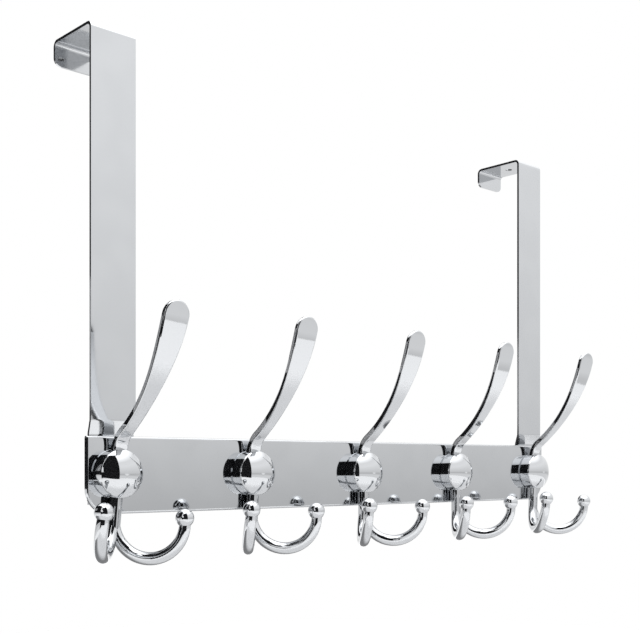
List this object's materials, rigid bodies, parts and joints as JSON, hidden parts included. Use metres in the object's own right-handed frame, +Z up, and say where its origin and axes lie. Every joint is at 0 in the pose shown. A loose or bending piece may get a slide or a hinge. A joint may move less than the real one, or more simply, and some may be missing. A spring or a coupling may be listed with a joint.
{
  "type": "over-door hook rack",
  "caption": "Chrome over-door rack: folded hangers carry a flat rail of screwed-on hooks, each with a tall flat upper arm and curved round lower arms that end in balls.",
  "frame": {"origin": "midway between the two flange holes, on the underside of the hangers' flanges: the middle of the door's top edge", "axes": "+X along the rail, to the right as seen from the room; +Y through the door, away from the room; +Z up"},
  "size_m": [0.4059, 0.0874, 0.2759],
  "materials": {
    "rail_chrome": "bright plated strip, polished flat, with faint rolling lines",
    "hanger_chrome": "bright plated strip with a softer shine, and faint marks at the folds",
    "hook_chrome": "mirror bright plated casting",
    "screw_steel": "zinc plated machine screws"
  },
  "bodies": {
    "root": {"rail": "rail_chrome", "left_hanger": "hanger_chrome", "right_hanger": "hanger_chrome", "hook_screws": "screw_steel", "hook_1": "hook_chrome", "hook_2": "hook_chrome", "hook_3": "hook_chrome", "hook_4": "hook_chrome", "hook_5": "hook_chrome"}
  },
  "joints": []
}
